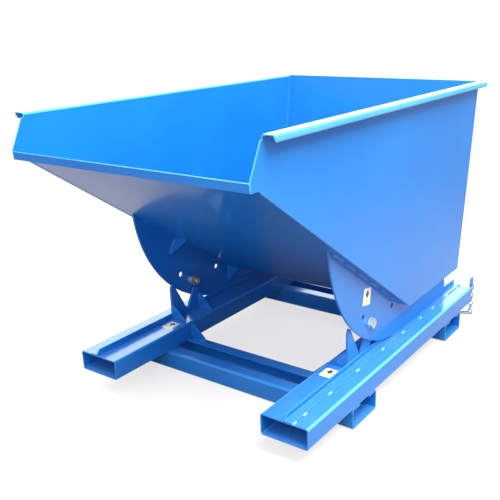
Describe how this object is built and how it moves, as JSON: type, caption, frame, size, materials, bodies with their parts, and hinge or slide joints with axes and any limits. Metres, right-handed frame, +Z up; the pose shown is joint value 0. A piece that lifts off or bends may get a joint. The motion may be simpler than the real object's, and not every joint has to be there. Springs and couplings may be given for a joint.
{
  "type": "tipping skip",
  "caption": "Roll-forward tipping skip for a fork truck: open sheet-steel hopper on two rockers that roll along a railed base frame with fork pockets.",
  "frame": {"origin": "on the ground, under the centre of the overall box", "axes": "+X right, +Y to the rear, where the truck comes, -Y to the lip that it tips over, +Z up"},
  "size_m": [1.081, 1.686, 1.116],
  "materials": {
    "blue_paint": "gloss",
    "zinc": "satin"
  },
  "bodies": {
    "base": {"chain_lug": "blue_paint", "front_fork_channel": "blue_paint", "latch_bracket": "blue_paint", "latch_pin": "zinc", "left_channel_gusset": "blue_paint", "left_front_notch_gusset": "blue_paint", "left_notch_plate": "blue_paint", "left_rail": "blue_paint", "left_rear_notch_gusset": "blue_paint", "left_track_angle": "blue_paint", "rear_fork_channel": "blue_paint", "right_channel_gusset": "blue_paint", "right_front_notch_gusset": "blue_paint", "right_notch_plate": "blue_paint", "right_rail": "blue_paint", "right_rear_notch_gusset": "blue_paint", "right_track_angle": "blue_paint"},
    "carriage": {"roll_centre_marker": "blue_paint"},
    "hopper": {"back_plate": "blue_paint", "floor_plate": "blue_paint", "latch_striker": "blue_paint", "left_front_rocker_gusset": "blue_paint", "left_pin_bolt": "zinc", "left_pin_nut": "zinc", "left_pin_sleeve": "zinc", "left_pin_washers": "zinc", "left_rear_rocker_gusset": "blue_paint", "left_rocker_plate": "blue_paint", "left_side_plate": "blue_paint", "right_front_rocker_gusset": "blue_paint", "right_pin_bolt": "zinc", "right_pin_nut": "zinc", "right_pin_sleeve": "zinc", "right_pin_washers": "zinc", "right_rear_rocker_gusset": "blue_paint", "right_rocker_plate": "blue_paint", "right_side_plate": "blue_paint"},
    "latch": {"latch_hook": "blue_paint"},
    "chain_link_1": {"chain_link_1": "zinc"},
    "chain_link_2": {"chain_link_2": "zinc"},
    "chain_link_3": {"chain_link_3": "zinc"},
    "chain_link_4": {"chain_link_4": "zinc"},
    "chain_link_5": {"chain_link_5": "zinc"},
    "chain_link_6": {"chain_link_6": "zinc"},
    "chain_link_7": {"chain_link_7": "zinc"},
    "snap_hook": {"snap_hook": "zinc"},
    "snap_gate": {"snap_gate": "zinc"}
  },
  "joints": [
    {"name": "roll_travel", "type": "slide", "parent": "base", "child": "carriage", "axis": [0, -1, 0], "range_m": [0, 0.54716]},
    {"name": "tip", "type": "hinge", "parent": "carriage", "child": "hopper", "pos_m": [0, 0.169, 0.7153], "axis": [1, 0, 0], "range_deg": [0, 57]},
    {"name": "latch_swing", "type": "hinge", "parent": "base", "child": "latch", "pos_m": [0, 0.658, 0.13], "axis": [1, 0, 0], "range_deg": [0, 35]},
    {"name": "chain_link_1_swing", "type": "hinge", "parent": "base", "child": "chain_link_1", "pos_m": [0.529, 0.828, 0.1692], "axis": [1, 0, 0], "range_deg": [-1, 60]},
    {"name": "chain_link_2_swing", "type": "hinge", "parent": "chain_link_1", "child": "chain_link_2", "pos_m": [0.529, 0.828, 0.1412], "axis": [1, 0, 0], "range_deg": [0, 15]},
    {"name": "chain_link_3_swing", "type": "hinge", "parent": "chain_link_2", "child": "chain_link_3", "pos_m": [0.529, 0.828, 0.1196], "axis": [0, 1, 0], "range_deg": [0, 15]},
    {"name": "chain_link_4_swing", "type": "hinge", "parent": "chain_link_3", "child": "chain_link_4", "pos_m": [0.529, 0.828, 0.098], "axis": [1, 0, 0], "range_deg": [0, 15]},
    {"name": "chain_link_5_swing", "type": "hinge", "parent": "chain_link_4", "child": "chain_link_5", "pos_m": [0.529, 0.828, 0.0764], "axis": [0, 1, 0], "range_deg": [0, 15]},
    {"name": "chain_link_6_swing", "type": "hinge", "parent": "chain_link_5", "child": "chain_link_6", "pos_m": [0.529, 0.828, 0.0548], "axis": [1, 0, 0], "range_deg": [0, 15]},
    {"name": "chain_link_7_swing", "type": "hinge", "parent": "chain_link_6", "child": "chain_link_7", "pos_m": [0.529, 0.828, 0.0332], "axis": [0, 1, 0], "range_deg": [0, 15]},
    {"name": "snap_hook_swing", "type": "hinge", "parent": "chain_link_7", "child": "snap_hook", "pos_m": [0.529, 0.828, 0.019], "axis": [0, 1, 0], "range_deg": [0, 40]},
    {"name": "snap_gate_open", "type": "hinge", "parent": "snap_hook", "child": "snap_gate", "pos_m": [0.48211, 0.81968, 0.00871], "axis": [-0.2143, 0, 0.9768], "range_deg": [0, 18], "stiffness_Nm_per_rad": 0.02}
  ],
  "couplings": [
    {"joint": "roll_travel", "follows": "tip", "m_per_rad": 0.55}
  ]
}
